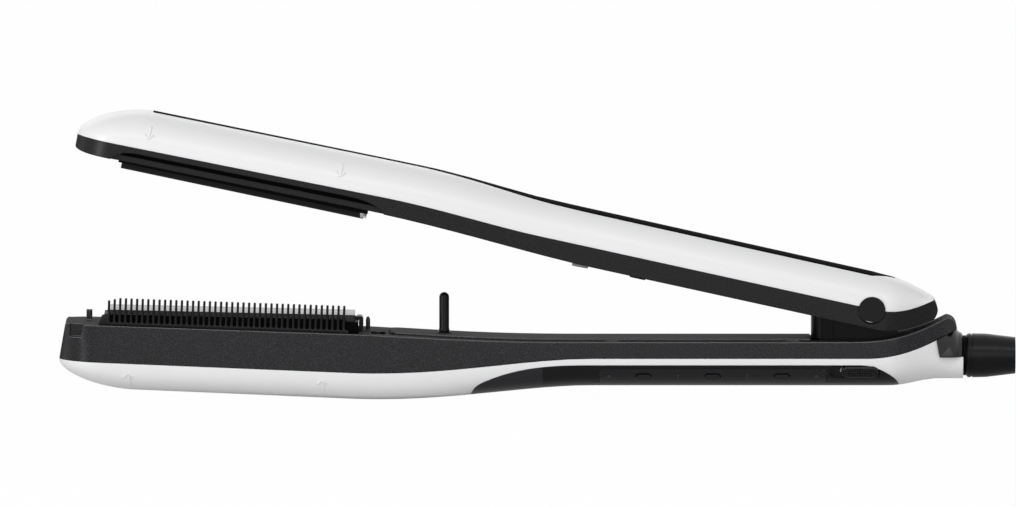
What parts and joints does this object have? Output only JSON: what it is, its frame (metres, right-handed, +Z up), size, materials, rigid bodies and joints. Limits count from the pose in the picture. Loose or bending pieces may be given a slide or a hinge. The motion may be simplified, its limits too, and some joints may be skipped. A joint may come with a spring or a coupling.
{
  "type": "steam hair straightener",
  "caption": "Hinged hair straightener with ceramic-coated heating plates, a comb and steam bar beside the lower plate, push buttons and a swivelling hose collar.",
  "frame": {"origin": "middle of the bounding box's underside, on the table under the open arms", "axes": "+X from the tips to the hose, +Y to the far side away from the comb, +Z up"},
  "size_m": [0.325, 0.038, 0.0984],
  "materials": {
    "shell_black": "satin moulded plastic with a fine sparkle",
    "shell_white": "polished",
    "panel_black": "satin",
    "lens": "smoked window",
    "light_pipe": "clear plastic, unlit",
    "key": "satin",
    "board": "circuit board",
    "hot_black": "matt heat-resistant plastic",
    "plate_coat": "ceramic-coated aluminium",
    "heater": "pale ceramic heater in an aluminium bar",
    "steel": "bright steel",
    "silicone": "soft silicone",
    "tube": "soft silicone tube",
    "seal": "seal rubber",
    "foot": "soft rubber",
    "nylon": "slippery nylon",
    "switch_case": "moulded switch case",
    "lead": "insulated copper lead"
  },
  "bodies": {
    "lower_arm": {"lower_body": "shell_black", "lower_cover": "shell_white", "handle_panel": "panel_black", "control_lens": "lens", "indicator_light_1": "light_pipe", "indicator_light_2": "light_pipe", "indicator_light_3": "light_pipe", "indicator_light_4": "light_pipe", "control_board": "board", "inner_cover": "shell_black", "locating_post": "shell_black", "lower_tray": "hot_black", "lower_plate": "plate_coat", "lower_heater": "heater", "thermal_fuse": "steel", "plate_clip": "hot_black", "steam_bar": "hot_black", "steam_tube": "tube", "hinge_tower": "hot_black", "hinge_spring": "steel", "hose_socket": "shell_black", "socket_ring": "hot_black"},
    "upper_arm": {"upper_body": "shell_black", "upper_cover": "shell_white", "crest_inset": "panel_black", "upper_inner_cover": "key", "upper_tray": "hot_black", "float_pad_front": "silicone", "float_pad_rear": "silicone", "switch_housing": "switch_case", "hinge_yoke": "steel", "hinge_pin": "steel", "near_washer": "nylon", "far_washer": "nylon", "near_cap": "panel_black", "far_cap": "panel_black", "lock_hook": "steel", "rest_pad": "foot", "heater_lead": "lead"},
    "upper_plate": {"upper_plate": "plate_coat", "upper_heater": "heater"},
    "comb": {"comb": "shell_black"},
    "switch_button": {"switch_button": "key"},
    "power_button": {"power_button": "key"},
    "minus_button": {"minus_button": "key"},
    "plus_button": {"plus_button": "key"},
    "lock_slider": {"lock_slider": "panel_black", "lock_bolt": "steel"},
    "hose_collar": {"hose_collar": "key", "hose_seal": "seal"}
  },
  "joints": [
    {"name": "arm_hinge", "type": "hinge", "parent": "lower_arm", "child": "upper_arm", "pos_m": [0.1135, 0, 0.0309], "axis": [0, -1, 0], "range_deg": [0, 10.6], "stiffness_Nm_per_rad": 0.8, "springref_deg": -28.65},
    {"name": "plate_float", "type": "slide", "parent": "upper_arm", "child": "upper_plate", "axis": [0.2062, 0, 0.9785], "range_m": [0, 0.0008], "stiffness_N_per_m": 2000, "springref_m": -0.001},
    {"name": "comb_release", "type": "slide", "parent": "lower_arm", "child": "comb", "axis": [0, -1, 0], "range_m": [0, 0.006]},
    {"name": "switch_press", "type": "slide", "parent": "upper_arm", "child": "switch_button", "axis": [0.1839, 0, 0.9829], "range_m": [0, 0.001], "stiffness_N_per_m": 300, "springref_m": -0.001},
    {"name": "power_press", "type": "slide", "parent": "lower_arm", "child": "power_button", "axis": [0, 0.7937, 0.6083], "range_m": [0, 0.0006], "stiffness_N_per_m": 500, "springref_m": -0.001},
    {"name": "minus_press", "type": "slide", "parent": "lower_arm", "child": "minus_button", "axis": [0, 0.7937, 0.6083], "range_m": [0, 0.0006], "stiffness_N_per_m": 500, "springref_m": -0.001},
    {"name": "plus_press", "type": "slide", "parent": "lower_arm", "child": "plus_button", "axis": [0, 0.7937, 0.6083], "range_m": [0, 0.0006], "stiffness_N_per_m": 500, "springref_m": -0.001},
    {"name": "lock_slide", "type": "slide", "parent": "lower_arm", "child": "lock_slider", "axis": [-1, 0, 0], "range_m": [0, 0.0035]},
    {"name": "collar_swivel", "type": "hinge", "parent": "lower_arm", "child": "hose_collar", "pos_m": [0.1475, 0, 0.0144], "axis": [1, 0, 0], "range_deg": [-170, 170]}
  ]
}
